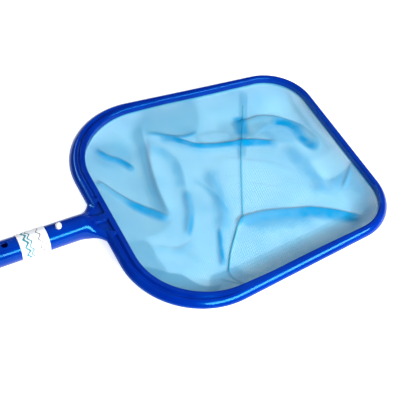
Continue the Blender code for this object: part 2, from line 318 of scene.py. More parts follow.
# %% [markdown]
# ## Blue plastic
#
# The head is injection-moulded in glossy royal blue. Real moulded plastic isn't perfect: its skin
# waves very slightly, the gloss is dulled in patches by handling, and its edges are rounded by the
# tool. The Bevel node softens the shading along edges that the mesh leaves crisp.
#
# %% Blue plastic
def blue_plastic():
    settings = {"IOR": 1.5, "Specular Tint": (0.0, 0.6, 1.0, 1.0)}
    settings |= {"Coat Weight": 0.12, "Coat Roughness": 0.06, "Coat IOR": 1.4}
    material, shader = start_material("royal_blue_plastic", settings)
    place = place_of(material)
    cloud = place.noise(place, 38.0)
    worn = place.noise(place, 420.0, 4.0)
    colour = cloud.between(0.3, 0.7).blend((0.0, 0.017, 0.27, 1), (0.0, 0.024, 0.32, 1))
    roughness = 0.14 + 0.08 * cloud + 0.06 * worn.between(0.5, 0.75)
    soft = place.add("Bevel", {"samples": 6}, {"Radius": 0.7 * MM})
    skin = {"Strength": 0.06, "Distance": 0.25 * MM, "Height": cloud + 0.12 * worn, "Normal": soft}
    feed(shader, Base_Color=colour, Roughness=roughness, Normal=place.add("Bump", {}, skin))
    return material


BLUE = blue_plastic()
print("made", BLUE.name)


# %% [markdown]
# ## From a bmesh to a finished piece
#
# The same last steps come for every piece: move it into the model's place, shade it smooth except
# along its sharp edges, give it its material and let it ride on the body that carries it.
#
# %% Finishing a piece
def object_of(bm, name):
    bmesh.ops.translate(bm, vec=SHIFT, verts=bm.verts)
    mesh = bpy.data.meshes.new(name)
    bm.to_mesh(mesh)
    bm.free()
    item = bpy.data.objects.new(name, mesh)
    bpy.context.scene.collection.objects.link(item)
    return item


def combined(item, other, operation):
    """Adds or cuts with another object, and removes that object."""
    mod = item.modifiers.new("combine", "BOOLEAN")
    mod.operation = operation
    mod.solver = "EXACT"
    mod.object = other
    graph = bpy.context.evaluated_depsgraph_get()
    mesh = bpy.data.meshes.new_from_object(item.evaluated_get(graph))
    item.modifiers.clear()
    item.data = mesh
    bpy.data.objects.remove(other)


def finished(item, material, body, node, sharp=32):
    """Shades a piece, and tells the frame what it rides on and which plain node it replaces."""
    item.data.materials.clear()
    item.data.materials.append(material)
    item.data.shade_smooth()
    item.data.set_sharp_from_angle(angle=math.radians(sharp))
    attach(item, body)
    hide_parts(node)
    print(item.name, "has", len(item.data.polygons), "faces")
    return item


# %% [markdown]
# ## The rim's section
#
# Seen in section, the rim is a brim: a long outer slope up to a ridge, a shallow groove, an inner
# bead and a short inner wall. Underneath, an open channel takes the hem of the net. The slope is a
# superellipse, fuller than a flat chamfer and flatter than a quarter circle.
#
# %% The rim's section and its sweep
SHOULDER = 6.5 * MM
SHOULDER_POWER = 1.4
FOOT_R = 0.8 * MM


def turns(low, high, count):
    """count + 1 angles from low to high degrees, as radians."""
    return [math.radians(low + (high - low) * i / count) for i in range(count + 1)]


def rim_section():
    foot = RIM_TOP - SHOULDER
    points = []
    for turn in turns(-90, 0, 3):
        inset = FOOT_R * (1 - math.cos(turn))
        points.append((inset, RIM_BOTTOM + FOOT_R * (1 + math.sin(turn)), 0))
    for turn in turns(0, 90, 14):
        inward = 1 - abs(math.cos(turn)) ** (2 / SHOULDER_POWER)
        upward = math.sin(turn) ** (2 / SHOULDER_POWER)
        points.append((OUTER_FACE * inward, foot + SHOULDER * upward, 0))
    for i in range(1, 12):
        drop = GROOVE_DEPTH * math.sin(math.pi * i / 12) ** 1.4
        points.append((OUTER_FACE + GROOVE_WIDTH * i / 12, RIM_TOP - drop, drop))
    bead = SECTION_WIDTH - INNER_EDGE_R
    points.append((OUTER_FACE + GROOVE_WIDTH, RIM_TOP, 0))
    for turn in turns(0, 90, 6):
        inset = bead + INNER_EDGE_R * math.sin(turn)
        points.append((inset, RIM_TOP - INNER_EDGE_R * (1 - math.cos(turn)), 0))
    roof = RIM_TOP - TOP_SKIN - GROOVE_DEPTH
    points += [(SECTION_WIDTH, RIM_BOTTOM, 0), (SECTION_WIDTH - SKIN, RIM_BOTTOM, 0)]
    points += [(SECTION_WIDTH - SKIN, roof, GROOVE_DEPTH), (2 * SKIN, roof, GROOVE_DEPTH)]
    points += [(SKIN, (roof + RIM_BOTTOM) / 2, 0), (SKIN, RIM_BOTTOM, 0)]
    return points


head = object_of(sweep(rim_section()), "head_moulding")
print("rim:", len(head.data.polygons), "faces")

# %% [markdown]
# ## Handle and gusset
#
# The handle is a tube that flattens and widens as it runs into the rim. It starts here as a round
# bar with many cuts along its last stretch. Each cut is then reshaped: the top sinks to the rim's
# level while the sides flare out, slowly at first and then almost along the rim. Past the rim's
# outer wall the underside stays above the channel that holds the net.
#
# %% The bar that flares into the rim
NECK_START = -29 * MM
NECK_SIDES = 72
FLARE_START = -26 * MM
FLARE_END = 3.6 * MM
FLARE_REACH = 31 * MM
FLARE_POWER = 2.3
FALL_START = -18 * MM
WALL_X = 1.5 * MM
LOFT_END = 7.0 * MM
LOFT_TOP = 4.6 * MM
LOFT_UNDERSIDE = 0.6 * MM
LOFT_EDGE_T = 0.4 * MM
FLARE_DROP = 2.4 * MM
FLARE_EDGE_POWER = 3


def bar(start, end, radius, sides, cuts=1):
    """A round bar along x with its ends closed."""
    bm = bmesh.new()
    bmesh.ops.create_circle(bm, segments=sides, radius=radius)
    bmesh.ops.rotate(bm, matrix=Matrix.Rotation(math.pi / 2, 3, "Y"), verts=bm.verts)
    bmesh.ops.translate(bm, vec=(start, 0, 0), verts=bm.verts)
    first = bm.edges[:]
    last = extruded(bm, first, ((end - start) / cuts, 0, 0), cuts)
    bmesh.ops.contextual_create(bm, geom=first)
    bmesh.ops.contextual_create(bm, geom=last)
    bmesh.ops.recalc_face_normals(bm, faces=bm.faces)
    return bm


def flare(x):
    t = min(max((x - FLARE_START) / (FLARE_END - FLARE_START), 0.0), 1.0)
    return FLARE_REACH * (1 - (1 - t**FLARE_POWER) ** (1 / FLARE_POWER))


neck = bar(NECK_START, LOFT_END, HANDLE_R, NECK_SIDES, cuts=36)
for vert in neck.verts:
    fall = smoothstep(FALL_START, FLARE_END, vert.co.x)
    upper = vert.co.z > 0.01 * MM
    level = LOFT_TOP if upper else -RIM_BOTTOM
    web = (vert.co.y / HANDLE_R) ** FLARE_EDGE_POWER
    drop = FLARE_DROP * smoothstep(FLARE_START, FLARE_START / 2, vert.co.x)
    vert.co.y += flare(vert.co.x) * web
    vert.co.z *= max(abs(vert.co.z) / HANDLE_R, 0.001) ** (-fall / 2)
    vert.co.z *= 1 + (level / HANDLE_R - 1) * fall
    vert.co.z -= drop * abs(web)
    if vert.co.x > WALL_X:
        vert.co.z = max(vert.co.z, LOFT_UNDERSIDE + (LOFT_EDGE_T if upper else 0))

# The straight tube takes the neck in, and the two faces where they meet are removed.
tube = bar(HANDLE_START, NECK_START, HANDLE_R, NECK_SIDES)
ends = [e for e in tube.edges if all(v.co.x < HANDLE_START + 1 * MM for v in e.verts)]
bmesh.ops.bevel(
    tube, geom=ends, offset=0.5 * MM, segments=3, profile=0.5, affect="EDGES", material=-1
)
spare = bpy.data.meshes.new("spare")
neck.to_mesh(spare)
neck.free()
tube.from_mesh(spare)
bmesh.ops.remove_doubles(tube, verts=tube.verts, dist=0.01 * MM)
caps = [f for f in tube.faces if len(f.verts) == NECK_SIDES]
inside = [f for f in caps if abs(f.calc_center_median().x - NECK_START) < 1 * MM]
bmesh.ops.delete(tube, geom=inside, context="FACES_ONLY")
bmesh.ops.recalc_face_normals(tube, faces=tube.faces)
combined(head, object_of(tube, "handle"), "UNION")


# %% [markdown]
# ## Plate, bore, holes and pockets
#
# A flat plate fills the rim's groove where the handle meets it. Two triangular pockets lighten the
# gusset and leave a rib between them. The handle is hollow, and two pairs of holes go through it.
#
# %% Adding the plate and cutting the rest
BORE_R = HANDLE_R - 2.0 * MM
BORE_END = -28 * MM
BUTTON_X = -45.3 * MM
HOLE_PITCH = 62 * MM
HOLE_R = 3.85 * MM
RIB_HALF = 4.5 * MM
POCKET_START, POCKET_END = -9.0 * MM, 11.5 * MM
POCKET_REACH = 23.5 * MM
POCKET_FLOOR = 1.2 * MM
PLATE_REACH = 29 * MM
PLATE_START = 6.6 * MM
PLATE_UNDERSIDE = 0.3 * MM
PLATE_TOP = RIM_TOP - 0.2 * MM


def prism(corners, low, high, widen=1.0):
    """An upright prism on these corners, widened towards its top."""
    bm = bmesh.new()
    base = bm.faces.new([bm.verts.new((x, y, low)) for x, y in corners])
    raised = bmesh.ops.extrude_face_region(bm, geom=[base])["geom"]
    top = only(bmesh.types.BMVert, raised)
    bmesh.ops.translate(bm, vec=(0, 0, high - low), verts=top)
    middle = sum((vert.co for vert in top), Vector()) / len(top)
    aim = Matrix.Translation(-middle)
    bmesh.ops.scale(bm, vec=(widen, widen, 1), space=aim, verts=top)
    bmesh.ops.recalc_face_normals(bm, faces=bm.faces)
    return bm


back = SECTION_WIDTH - (RIM_WIDTH - OUTER_FACE) / 2
plate = [(PLATE_START, PLATE_REACH), (back, 0.9 * PLATE_REACH)]
plate += [(x, -y) for x, y in reversed(plate)]
combined(head, object_of(prism(plate, PLATE_UNDERSIDE, PLATE_TOP), "plate"), "UNION")
combined(head, object_of(bar(HANDLE_START - 10 * MM, BORE_END, BORE_R, 64), "bore"), "DIFFERENCE")
for x in (BUTTON_X, BUTTON_X - HOLE_PITCH):
    drill = bar(-2 * HANDLE_R, 2 * HANDLE_R, HOLE_R, 40)
    bmesh.ops.rotate(drill, matrix=Matrix.Rotation(math.pi / 2, 3, "Y"), verts=drill.verts)
    bmesh.ops.translate(drill, vec=(x, 0, 0), verts=drill.verts)
    combined(head, object_of(drill, "hole"), "DIFFERENCE")
for side in (-1, 1):
    pocket = [(POCKET_START, side * RIB_HALF), (POCKET_END, side * RIB_HALF)]
    pocket.append((POCKET_END, side * POCKET_REACH))
    cutter = object_of(prism(pocket, POCKET_FLOOR, 1.2 * HANDLE_R, widen=1.25), "pocket")
    combined(head, cutter, "DIFFERENCE")
finished(head, BLUE, "head", "frame")

# %% [markdown]
# ## Retaining ring and hem
#
# The ring is a flat moulding that closes the channel from below. The hem is the net's folded edge
# in that channel. Both are the same sweep with a section of their own.
#
# %% The ring and the hem
RING_TOP = RIM_BOTTOM - 1.2 * MM
RING_T = 2.0 * MM
RING_INSET = 3.0 * MM


def rounded_box(low, high, corner, steps=3):
    """A closed section between two corners, with round edges, as sweep() takes it."""
    points = []
    for quarter, (x, z) in enumerate(
        [(high[0], high[1]), (low[0], high[1]), (low[0], low[1]), (high[0], low[1])]
    ):
        for turn in turns(90 * quarter, 90 * quarter + 90, steps):
            inward = (math.cos(turn) - math.copysign(1, x - (low[0] + high[0]) / 2)) * corner
            upward = (math.sin(turn) - math.copysign(1, z - (low[1] + high[1]) / 2)) * corner
            points.append((x + inward, z + upward, 0))
    return points


ring_low, ring_high = (RING_INSET, RING_TOP - RING_T), (SECTION_WIDTH - GAP, RING_TOP)
ring = object_of(sweep(rounded_box(ring_low, ring_high, 0.6 * MM)), "retaining_ring_moulding")
finished(ring, BLUE, "head", "retaining_ring")

# %% [markdown]
# ## Net fabric
#
# The bag is a fine knitted net in pale blue. It lets light through its pores, and where the cloth
# lies double it turns a deeper cyan, as two sheets of coloured film do. The cloth carries two
# attributes that are painted together with the folds: "ply" is how much of it lies double, and
# "dusk" is painted shade: how far the colour is darkened to grey-blue where the cloth hangs in the
# rim's shade and along its folds and creases. The same attribute draws the seam's dark line. The
# pores follow the cloth's own UV map.
#
# %% Net fabric
NET_PITCH = 2.8 * MM


def net_fabric(name, body_colour, open_share):
    settings = {"Roughness": 0.75, "Specular IOR Level": 0.15, "Specular Tint": (0.2, 0.8, 1, 1)}
    material, shader = start_material(name, settings)
    flat = place_of(material, "UV")
    ply = flat.add("Attribute", {"attribute_name": "ply"}, {}, output=2)
    uneven = flat.noise(flat, 70.0, 4.0)
    ply = ply * (0.55 + 0.9 * uneven)
    painted_shade_and_seam = flat.add("Attribute", {"attribute_name": "painted_shade_and_seam"}, {}, output=2)
    split = flat.add("SeparateXYZ", {}, {0: flat})
    across = Field(flat.tree, split.socket.node.outputs["X"])
    along = Field(flat.tree, split.socket.node.outputs["Y"])
    turn = 2 * math.pi / NET_PITCH
    first = 0.5 - 0.5 * flat.math("COSINE", (across + along) * turn)
    second = 0.5 - 0.5 * flat.math("COSINE", (across - along) * turn)
    pore = first * second
    cloud = flat.noise(flat, 32.0, 6.0)
    single = cloud.between(0.3, 0.7).blend(body_colour, (0.105, 0.44, 0.66, 1))
    # Painted shade: the colour turns grey-blue where shade is painted in, and along the seam's dark
    # line.
    shaded = painted_shade_and_seam.blend(single, (0.030, 0.20, 0.33, 1))
    colour = ply.blend(shaded, (0.0, 0.25, 0.53, 1))
    # Painted shade also closes the pores, so the shaded cloth lets less of the floor through.
    alpha = 1 - pore * (open_share * (1 - 0.9 * ply) * (1 - 0.6 * painted_shade_and_seam))
    thread = {"Strength": 0.35, "Distance": 0.2 * MM, "Height": 1 - pore}
    feed(shader, Base_Color=colour, Alpha=alpha, Normal=flat.add("Bump", {}, thread))
    return material


NET = net_fabric("pale_blue_net", (0.125, 0.475, 0.665, 1), 0.95)
hem_low = (2 * SKIN, RIM_BOTTOM + 0.1 * MM)
hem_high = (RIM_WIDTH - SKIN - 0.6 * MM, RIM_TOP - TOP_SKIN - GROOVE_DEPTH - 0.6 * MM)
hem = object_of(sweep(rounded_box(hem_low, hem_high, 0.7 * MM)), "net_hem")
finished(hem, NET, "head", "hem_band")

# %% [markdown]
# ## The bag's shape
#
# The bag hangs from under the rim and lies on the ground, because it is deeper than the head is
# high. So its wall runs in a long way before it reaches the ground, and the spare cloth lies in
# folds. A height map says this well: a wall that falls from the rim, plus a list of folds. A fold
# is a smooth line with a height, a steep and a gentle side, and a band where the cloth is double.
#
# %% Wall and floor of the bag
GROUND = -AXIS_Z
CLOTH_LIFT = 0.5 * MM
WALL_TOP = RING_TOP - RING_T - GAP
RUN_NEAR, RUN_FAR, RUN_HANDLE, RUN_END = 30 * MM, 46 * MM, 46 * MM, 30 * MM


def wall_height(x, y):
    """Height of the smooth bag, and how far down the wall the point is, from 0 to 1."""
    inset, out = edge(x, y)
    run = out.x**2 * (RUN_HANDLE if out.x < 0 else RUN_END)
    run += out.y**2 * (RUN_NEAR if y < 0 else RUN_FAR)
    down = (inset - inner_edge(x + out.x * inset)) / run
    share = min(max(down, 0.0), 1.0)
    height = GROUND + CLOTH_LIFT + (WALL_TOP - GROUND - CLOTH_LIFT) * (1 - share) ** 1.35
    return height, share


# %% Folds and laps
def smooth_line(points):
    """A smooth curve through a few points given in millimetres."""
    line = [Vector(point) * MM for point in points]
    line = [2 * line[0] - line[1], *line, 2 * line[-1] - line[-2]]
    steps = 8
    path = []
    for a, b, c, d in zip(line, line[1:], line[2:], line[3:]):
        for i in range(steps):
            t = i / steps
            curve = 2 * b + (c - a) * t + (2 * a - 5 * b + 4 * c - d) * t * t
            path.append((curve + (3 * b - a - 3 * c + d) * t**3) / 2)
    return np.array([*path, line[-2]])


def measured_from(path, points):
    """For each point: signed distance from the path, left positive, and the way along it, 0 to 1."""
    start, step = path[:-1], np.diff(path, axis=0)
    length = np.hypot(*step.T)
    run = np.concatenate([[0], np.cumsum(length)])
    best = np.full(len(points), 1e9)
    side = np.zeros(len(points))
    along = np.zeros(len(points))
    for i in range(len(start)):
        offset = points - start[i]
        share = np.clip(offset @ step[i] / length[i] ** 2, 0, 1)
        gap = offset - share[:, None] * step[i]
        distance = np.hypot(*gap.T)
        nearer = distance < best
        best[nearer] = distance[nearer]
        cross = step[i][0] * offset[:, 1] - step[i][1] * offset[:, 0]
        side[nearer] = np.sign(cross)[nearer]
        along[nearer] = (run[i] + share * length[i])[nearer]
    return best * side, along / run[-1]


def soft_step(low, high, values):
    t = np.clip((values - low) / (high - low), 0, 1)
    return t * t * (3 - 2 * t)


class Fold:
    """A fold along a smooth line: its height, and how wide it is to the left and to the right.
    Beside the line runs a band where the cloth lies double (ply) or where shade is painted into its
    colour (dusk). A band is its strength, its right and left border, and how softly each border
    fades."""

    def __init__(self, points, height=0.0, sides=(3, 6), ply=None, painted_shade_and_seam=None, fade=0.2):
        self.path = smooth_line(points)
        self.height = height * MM
        self.sides = [side * MM for side in sides]
        self.bands = {"ply": ply, "painted_shade_and_seam": painted_shade_and_seam}
        self.fade = fade

    def near(self, points):
        margin = 32 * MM
        inside = (points > self.path.min(0) - margin) & (points < self.path.max(0) + margin)
        return inside.all(axis=1)

    def apply(self, points, cloth):
        near = self.near(points)
        away, along = measured_from(self.path, points[near])
        ends = soft_step(0, self.fade, np.minimum(along, 1 - along))
        width = np.where(away > 0, self.sides[0], self.sides[1])
        cloth["height"][near] += self.height * ends * np.exp(-((away / width) ** 2))
        for name, band in self.bands.items():
            if band:
                strength, low, high, soft_low, soft_high = band
                inside = soft_step((low - soft_low) * MM, (low + soft_low) * MM, away)
                inside *= 1 - soft_step((high - soft_high) * MM, (high + soft_high) * MM, away)
                cloth[name][near] += strength * ends * inside * (1 - cloth[name][near])


class Lap(Fold):
    """A part of the cloth inside a closed line, where it lies double or has shade painted into its
    colour.
    """

    def __init__(self, points, rise=0.0, ply=0.0, painted_shade_and_seam=0.0, edge=1.0):
        super().__init__([*points, points[0]], rise, ply=ply, painted_shade_and_seam=painted_shade_and_seam)
        self.edge = edge * MM

    def apply(self, points, cloth):
        near = self.near(points)
        points = points[near]
        away, _ = measured_from(self.path, points)
        inside = np.zeros(len(points), bool)
        for (x1, y1), (x2, y2) in zip(self.path, self.path[1:]):
            spans = (y1 > points[:, 1]) != (y2 > points[:, 1])
            rise = y2 - y1 if y2 != y1 else 1.0
            inside ^= spans & (points[:, 0] < x1 + (points[:, 1] - y1) * (x2 - x1) / rise)
        depth = np.where(inside, 1, -1) * np.abs(away)
        cover = soft_step(-self.edge, self.edge, depth)
        cloth["height"][near] += self.height * cover
        for name, strength in self.bands.items():
            room = 1 - cloth[name][near] if strength > 0 else cloth[name][near]
            cloth[name][near] += strength * cover * room


FOLDS = [
    # Shade in the wall at the handle end and along the near side.
    Lap([(14, 130), (60, 112), (88, 94), (84, 20), (84, -16), (62, -32), (46, -36), (46, -62),
         (48, -84), (20, -100), (5, 0)], painted_shade_and_seam=0.22, edge=9),
    Lap([(20, 66), (34, 47), (52, 22), (83, -18), (78, -27), (60, -33), (46, -36), (46, -62),
         (46, -84), (20, -90), (8, 0)], rise=0.4, painted_shade_and_seam=0.20, edge=1.5),
    Lap([(10, -36), (46, -38), (46, -62), (48, -85), (30, -92), (8, -90)], painted_shade_and_seam=0.32, edge=2),
    Lap([(10, -66), (30, -74), (48, -86), (62, -94), (72, -112), (84, -122), (93, -126), (60, -146),
         (10, -120)], painted_shade_and_seam=0.68, ply=0.1, edge=2.2),
    Lap([(92, -107), (112, -108), (160, -105), (205, -101), (245, -98), (276, -98), (305, -112),
         (300, -134), (190, -155), (70, -155), (80, -122)], rise=0.3, painted_shade_and_seam=0.2, ply=0.06, edge=1.3),
    Lap([(90, -107), (122, -108), (134, -126), (190, -124), (262, -116), (312, -100), (330, -134),
         (190, -164), (80, -155)], painted_shade_and_seam=0.22, ply=0.15, edge=4),
    Lap([(306, -66), (340, -50), (345, -125), (290, -134), (296, -108)], painted_shade_and_seam=0.2, ply=0.32, edge=14),
    # The loose far wall, with painted shade in patches.
    Lap([(98, 156), (130, 156), (184, 150), (192, 120), (182, 98), (168, 89), (150, 93), (126, 108),
         (112, 112), (97, 128)], rise=1.2, painted_shade_and_seam=0.48, edge=8),
    Lap([(40, 100), (58, 118), (84, 104), (82, 84), (62, 80), (44, 84)], ply=0.16, painted_shade_and_seam=0.16, edge=9),
    Lap([(186, 156), (340, 146), (330, 96), (290, 100), (232, 92), (188, 98)], painted_shade_and_seam=0.14, edge=12),
    Lap([(206, 96), (222, 92), (236, 68), (224, 62), (196, 66), (200, 80)], painted_shade_and_seam=0.3, edge=7),
    Lap([(170, 92), (196, 88), (214, 78), (236, 66), (262, 60), (258, 44), (205, 59), (172, 72)],
        painted_shade_and_seam=0.28, edge=2.5),
    # The band at the foot of the handle-side wall: painted shade, with doubled cloth beside it.
    Fold([(110, 132), (104, 104), (95, 66), (88, 34), (84, 4), (84, -18)], 0, (3, 6),
         painted_shade_and_seam=(0.62, -10, 4.5, 7, 1.6), fade=0.10),
    Fold([(108, 118), (103, 98), (94, 66), (87, 34), (84, 4), (84, -18)], 0, (3, 6),
         ply=(0.22, -4.5, 4, 1.6, 1.4), painted_shade_and_seam=(0.08, -4.5, 4, 1.6, 1.4), fade=0.25),
    Fold([(119, 116), (110, 90), (99, 60), (91, 28), (88, 0), (85, -20)], 3.2, (9, 4)),
    # The long fold at the foot of the far wall, and the tuck above it, with shade painted along the
    # tuck.
    Fold([(124, 103), (140, 97), (152, 86), (164, 74), (180, 67), (205, 60), (230, 54), (248, 46),
          (268, 40)], 4.2, (2.5, 7), ply=(1.0, -5.4, 0.6, 1.6, 1.2), fade=0.2),
    Fold([(124, 103), (140, 97), (152, 86), (164, 74), (180, 67), (205, 60), (230, 54), (248, 46),
          (268, 40)], 0, (3, 6), ply=(0.42, -9, 3, 7, 2.5), fade=0.08),
    Fold([(198, 62), (226, 55), (248, 47), (266, 40)], 0.8, (3, 6), ply=(0.95, -8.2, 0, 2.4, 1.4),
         fade=0.4),
    Fold([(112, 113), (126, 108), (142, 98), (156, 92), (170, 91), (180, 97)], 1.6, (4, 2),
         ply=(0.4, -2.5, 1.5, 2, 1), painted_shade_and_seam=(0.85, -1.6, 2.4, 1.0, 1.6)),
    # The double crease from the neck, with shade painted along its edges.
    Fold([(26, 64), (34, 50), (46, 31), (60, 13), (74, -3), (85, -19)], 3.4, (2.5, 6),
         ply=(0.5, -5.5, 1, 4, 1), painted_shade_and_seam=(0.7, -0.2, 3.4, 0.9, 1.6), fade=0.1),
    Fold([(46, 31), (62, 10), (75, -5), (86, -20)], 0.5, (3, 4), ply=(0.95, -8, 0.5, 3.5, 1),
         painted_shade_and_seam=(0.3, -6, 0, 3, 1), fade=0.3),
    Fold([(45, 111), (54, 96), (66, 88), (74, 77), (78, 62)], 2.4, (3, 5),
         ply=(0.95, -5, 2.5, 4, 2.5), painted_shade_and_seam=(0.25, -4, 2, 3, 2)),
    # The arch at the far end, with painted shade under it and along its edge.
    Lap([(222, 91), (240, 88), (264, 86), (281, 78), (284, 70), (264, 68), (248, 63), (236, 60),
         (226, 66)], rise=0.8, painted_shade_and_seam=0.5, edge=3.0),
    Fold([(237, 98), (233, 84), (226, 66)], 0, (3, 3), ply=(0.75, -7, 9, 5, 4),
         painted_shade_and_seam=(0.4, -6, 7, 5, 4), fade=0.15),
    Lap([(248, 64), (264, 70), (284, 68), (290, 48), (286, 32), (262, 40)], ply=0.3, edge=5),
    Fold([(226, 90), (244, 86), (264, 85), (281, 77), (292, 67), (301, 52), (306, 34), (308, 14),
          (302, 4)], 3.4, (2.5, 6), painted_shade_and_seam=(0.55, -3.0, 1.6, 3, 1.2)),
    Fold([(268, 70), (285, 64), (293, 50), (293, 34), (298, 17), (307, 2)], 1.2, (4, 5),
         ply=(0.85, -4, 7.5, 4.5, 4.5), fade=0.22),
    Fold([(272, 70), (286, 62), (294, 48)], 0, (4, 5), ply=(0.9, -2.5, 4, 2, 3), fade=0.3),
    Fold([(292, 40), (296, 22), (305, 6)], 0, (4, 5), ply=(0.8, -4, 4, 3, 2), fade=0.3),
    # The crease across the floor, with a line of painted shade along it.
    Fold([(150, -58), (163, -50), (185, -51), (212, -58), (242, -68), (266, -82), (296, -105)],
         3.0, (2.5, 8), ply=(0.55, -14, 0, 6, 1.0), painted_shade_and_seam=(0.5, -2.5, 1.4, 2, 1.0), fade=0.08),
    Fold([(160, -53), (190, -54), (222, -62), (252, -74)], 0, (3, 6), ply=(0.40, -24, 0, 8, 4)),
    Fold([(222, -62), (246, -70), (268, -83), (298, -107)], 0.8, (3, 6),
         ply=(0.95, -11, 0, 5, 1.5), painted_shade_and_seam=(0.5, -9, 0, 5, 1.5)),
    # Soft folds that run down the floor.
    Fold([(110, 100), (126, 84), (134, 62), (130, 36), (120, 8)], 1.4, (2, 5),
         ply=(0.42, -13, -1, 7, 3)),
    Fold([(122, 20), (116, 0), (108, -22), (90, -50)], 2.0, (4, 4), ply=(0.55, -6, 5, 5, 4)),
    Fold([(112, -18), (104, -34), (92, -50)], 0, (4, 4), ply=(0.75, -2, 2, 2, 1.5)),
    Fold([(162, 40), (154, 0), (145, -36), (128, -62)], 1.8, (6, 6), ply=(0.46, -9, 9, 8, 7)),
    Fold([(134, -48), (125, -66), (114, -90), (109, -106)], 1.6, (3, 3), ply=(0.6, -4, 4, 4, 4)),
    Fold([(131, -52), (124, -68), (115, -90), (111, -100)], 0, (3, 3), ply=(0.9, -2, 2, 1.5, 1.2)),
    Fold([(268, 36), (274, 0), (276, -30), (270, -64)], 1.6, (7, 7), ply=(0.45, -10, 10, 10, 9)),
    Fold([(284, -46), (305, -47), (332, -44)], 1.0, (8, 8), ply=(0.42, -11, 9, 8, 6)),
    # A line of painted shade along a small fold.
    Fold([(296, -60), (309, -49), (326, -32)], 1.5, (2, 3), painted_shade_and_seam=(0.4, -2, 1.4, 2, 1)),
    # Streaks of painted shade in the wall at the far end, along low folds.
    Fold([(316, 116), (313, 70), (312, 30), (318, -8)], 1.6, (2, 3), painted_shade_and_seam=(0.25, -5, 2, 4, 1.5)),
    Fold([(325, 104), (322, 50), (324, 0)], 1.2, (2, 2), painted_shade_and_seam=(0.3, -3, 3, 3, 3)),
    # Faint slack across the middle of the floor, with lines of painted shade along most of its folds.
    Fold([(138, 30), (150, -8), (152, -40)], 0.8, (3, 5), ply=(0.3, -4, 1, 4, 1)),
    Fold([(172, 20), (196, -6), (232, -30)], 0.9, (3, 6), painted_shade_and_seam=(0.12, -6, 0, 5, 1)),
    Fold([(176, 52), (204, 30), (240, 8), (262, -20)], 0.9, (3, 6), painted_shade_and_seam=(0.12, -6, 0, 5, 1)),
    Fold([(196, 66), (216, 44), (250, 24)], 0.7, (3, 6), painted_shade_and_seam=(0.14, -5, 0, 5, 1)),
    Fold([(66, -56), (84, -70), (98, -92)], 0.9, (3, 6), painted_shade_and_seam=(0.16, -6, 0, 6, 1)),
    Fold([(50, -46), (76, -60), (98, -56)], 0.9, (3, 6), ply=(0.2, -8, 2, 6, 3)),
    Fold([(62, 140), (84, 112), (96, 96)], 0.9, (3, 6), painted_shade_and_seam=(0.18, -6, 0, 6, 2)),
    # Where the cloth is painted lighter: the painted shade is taken out, and in two places the
    # doubled cloth too.
    Lap([(176, 86), (196, 85), (212, 77), (208, 69), (192, 71), (178, 75)], rise=0.5, painted_shade_and_seam=-0.5,
        edge=2.5),
    Lap([(284, -6), (322, -6), (327, -26), (312, -37), (286, -36)], ply=-0.9, painted_shade_and_seam=-0.9, edge=4),
    Lap([(176, 36), (214, 34), (232, -6), (214, -42), (180, -38), (168, 0)], ply=-0.7, painted_shade_and_seam=-0.8,
        edge=12),
    Lap([(60, 130), (100, 156), (124, 154), (112, 132), (86, 118)], painted_shade_and_seam=-0.8, edge=9),
    Lap([(262, 130), (320, 118), (322, 92), (300, 84), (262, 100)], painted_shade_and_seam=-0.6, edge=12),
]
SEAM_LINE = [(262, 130), (250, 108), (239, 88), (205, 30), (164, -48), (152, -58), (140, -72),
             (128, -86), (119, -99), (112, -111), (112, -124), (118, -140)]
SEAM_FOLDS = [
    # Along the seam: a faint darker band on its upper part and the seam's dark line on its lower
    # part, painted with the same grey-blue as the painted shade.
    Fold(SEAM_LINE[:4], 0.3, (4, 4), ply=(0.2, -5, 6, 2, 1.2), painted_shade_and_seam=(0.3, -5, 6, 2, 1.2), fade=0.1),
    Fold(SEAM_LINE[2:6], 0.3, (3, 3), ply=(0.15, -3, 2, 2, 1), fade=0.05),
    Fold(SEAM_LINE[4:], 1.2, (2, 2), painted_shade_and_seam=(0.8, -1.3, 0.9, 0.8, 0.6), fade=0.04),
    Fold([(98, -115), (106, -126), (118, -139)], 1.0, (2, 2), painted_shade_and_seam=(0.8, -1.1, 0.8, 0.7, 0.5)),
]
print(len(FOLDS) + len(SEAM_FOLDS), "folds and laps")


def shaped(points):
    """Height, ply and painted shade (dusk) of the cloth at an array of points seen from above."""
    cloth = {name: np.zeros(len(points)) for name in ("height", "ply", "painted_shade_and_seam", "wall")}
    for i, (x, y) in enumerate(points):
        cloth["height"][i], cloth["wall"][i] = wall_height(x, y)
        ripple = noise.noise(Vector((x * 28, y * 28, 0)))
        ripple += 0.5 * noise.noise(Vector((x * 75, y * 75, 3)))
        loose = min(1, 4 * cloth["wall"][i])
        cloth["height"][i] += 0.9 * MM * ripple * loose + 0.6 * MM * cloth["wall"][i]
        cloth["ply"][i] = 0.12 + 0.14 * ripple
        # A faint painted shade, in random patches, lies over the whole cloth.
        cloth["painted_shade_and_seam"][i] = max(0, 0.10 * noise.noise(Vector((x * 22, y * 22, 7))) + 0.05)
    for fold in [*FOLDS, *SEAM_FOLDS]:
        fold.apply(points, cloth)
    cloth["height"] = np.maximum(cloth["height"], GROUND + CLOTH_LIFT)
    return cloth


# %% [markdown]
# ## The cloth itself
#
# A square grid is drawn out to the shape of the rim's inner edge: each point keeps its direction
# from the middle, and the grid's border lands on the edge. The border is then extruded twice, up
# past the retaining ring and outwards between ring and rim, where the real cloth is gripped.
#
# %% Laying the cloth
MIDDLE = Vector((168 * MM, 0))
CELLS_X, CELLS_Y = 296, 272
CLEAR = 0.5 * MM
CLAMPED_Z = RIM_BOTTOM - 0.6 * MM  # between the rim and the retaining ring
CLAMPED_WIDTH = 12 * MM


